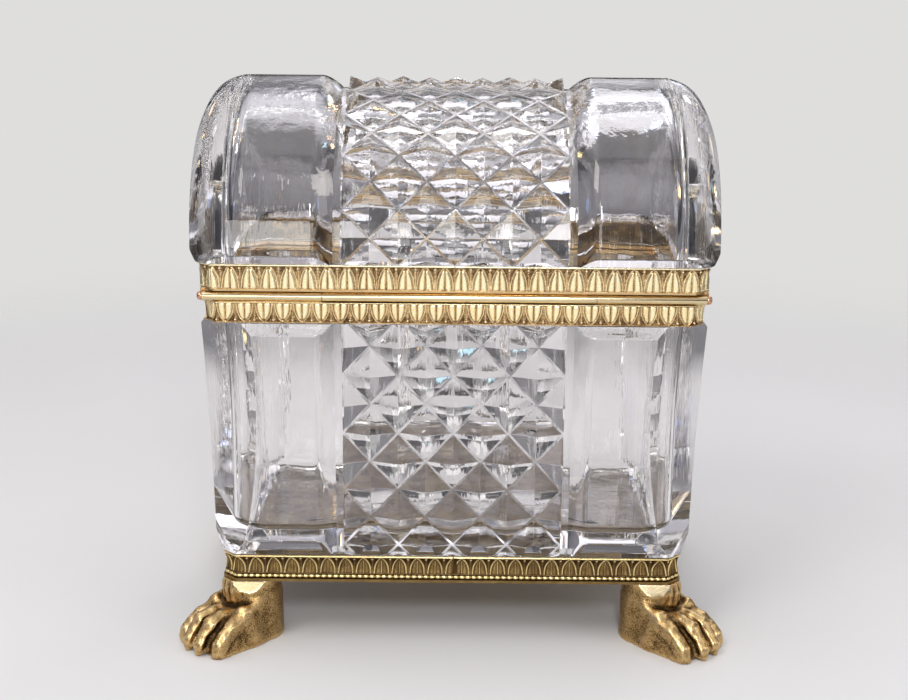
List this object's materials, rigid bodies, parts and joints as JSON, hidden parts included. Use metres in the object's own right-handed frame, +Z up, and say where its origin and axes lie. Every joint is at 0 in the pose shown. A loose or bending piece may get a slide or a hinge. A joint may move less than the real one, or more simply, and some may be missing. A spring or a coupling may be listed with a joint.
{
  "type": "glass casket box",
  "caption": "Thick cut-glass casket with a barrel-vault lid on a long tube hinge, gilt metal leaf bands and lion-paw feet.",
  "frame": {"origin": "centre of the footprint at floor level, under the four feet", "axes": "+Z up; X runs along the hinge and the long side; the hinge is on the -Y side and the lid lifts from the +Y side"},
  "size_m": [0.1548, 0.1046, 0.1566],
  "materials": {
    "cut_glass": "polished, cut with diamond points and flutes",
    "gilt_bands": "bright gilt, relief darkened with patina",
    "gilt_plain": "polished gilt",
    "gilt_feet": "antique gilt casting, grainy satin, bright on the high points",
    "steel": "plain turned steel",
    "cement": "matt setting cement"
  },
  "bodies": {
    "base": {"body_glass": "cut_glass", "body_collar": "gilt_plain", "body_frieze": "gilt_bands", "body_bedding": "cement", "base_tray": "gilt_plain", "base_frieze": "gilt_bands", "base_bead": "gilt_bands", "base_bedding": "cement", "foot_hinge_left": "gilt_feet", "foot_hinge_right": "gilt_feet", "foot_front_left": "gilt_feet", "foot_front_right": "gilt_feet", "foot_studs": "steel", "foot_nuts": "steel", "hinge_knuckle_left": "gilt_plain", "hinge_knuckle_right": "gilt_plain", "hinge_pin": "gilt_plain"},
    "lid": {"lid_glass": "cut_glass", "lid_collar": "gilt_plain", "lid_frieze": "gilt_bands", "lid_bedding": "cement", "hinge_knuckle_centre": "gilt_plain", "thumb_tab": "gilt_plain"}
  },
  "joints": [
    {"name": "lid_hinge", "type": "hinge", "parent": "base", "child": "lid", "pos_m": [0, -0.0401, 0.1006], "axis": [1, 0, 0], "range_deg": [0, 100]}
  ]
}
